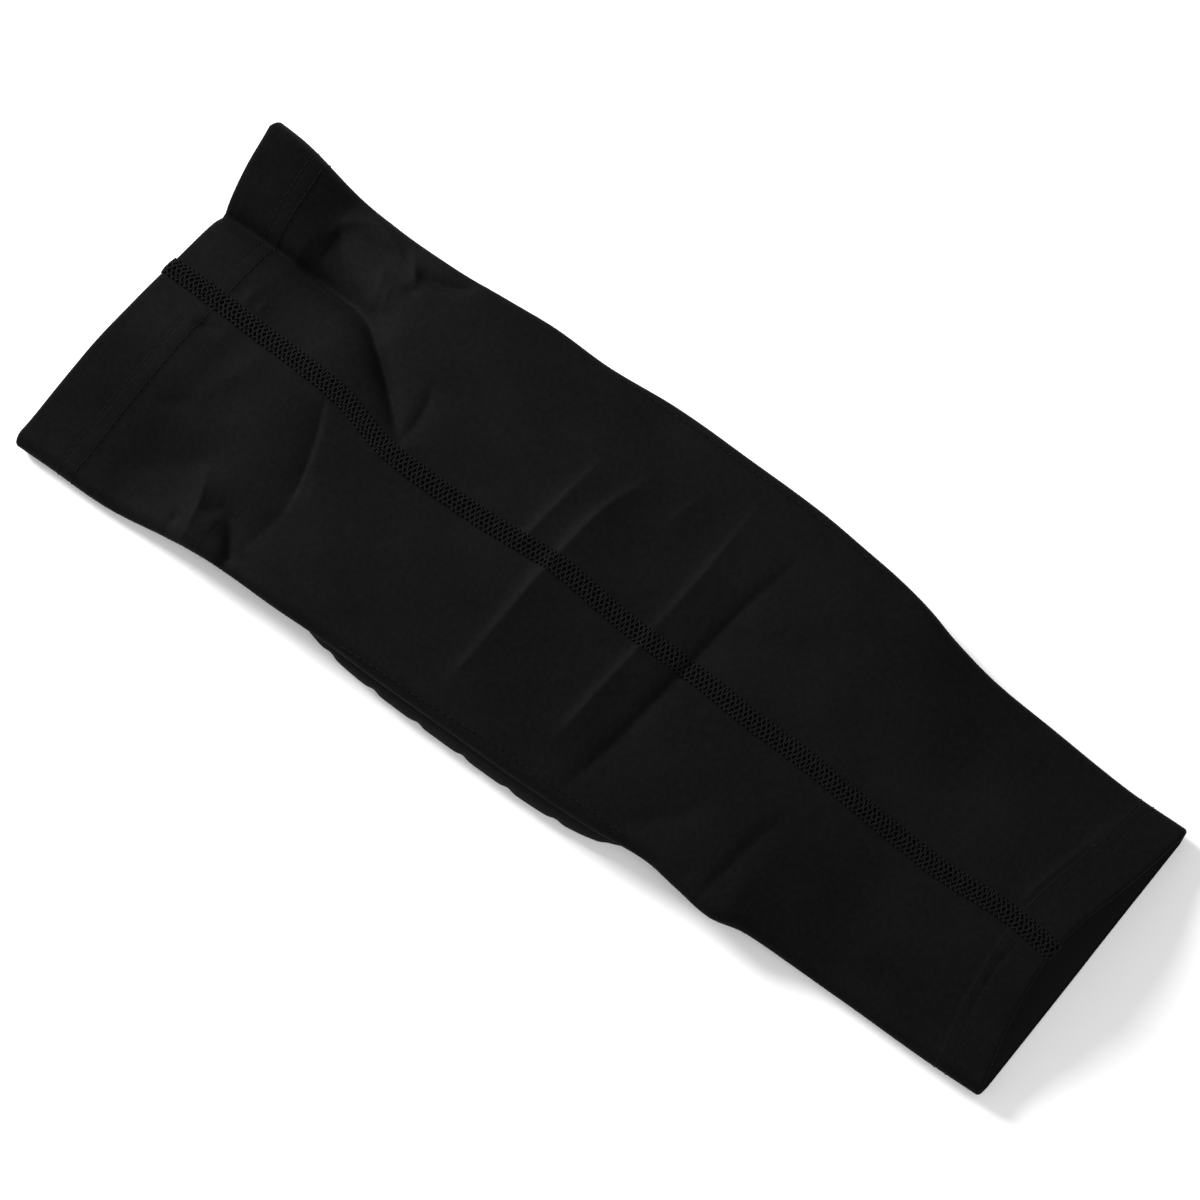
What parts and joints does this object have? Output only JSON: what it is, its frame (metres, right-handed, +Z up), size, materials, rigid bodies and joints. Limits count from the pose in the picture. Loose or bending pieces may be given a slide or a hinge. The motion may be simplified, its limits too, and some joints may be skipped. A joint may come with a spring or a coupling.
{
  "type": "padded knee sleeve",
  "caption": "Black stretch-knit knee sleeve lying pad down: tapered tube with turned hems, a flatlock seam down the back and a honeycomb foam pad on the front.",
  "frame": {"origin": "middle of the bounding box, on the floor that the pad's cells rest on", "axes": "+Y up the leg towards the thigh hem, +Z up from the pad to the back seam, +X to the right as seen from above with the thigh hem away from the viewer"},
  "size_m": [0.1315, 0.367, 0.0253],
  "materials": {
    "stretch_knit": "smooth matt black nylon and elastane knit",
    "seam_thread": "black textured polyester flatlock thread",
    "pad_foam": "black knit laminated over moulded closed-cell foam cells"
  },
  "bodies": {
    "root": {"sleeve_back_right": "stretch_knit", "sleeve_front": "stretch_knit", "sleeve_back_left": "stretch_knit", "back_seam": "seam_thread", "thigh_hem": "stretch_knit", "calf_hem": "stretch_knit", "knee_pad": "pad_foam"}
  },
  "joints": []
}
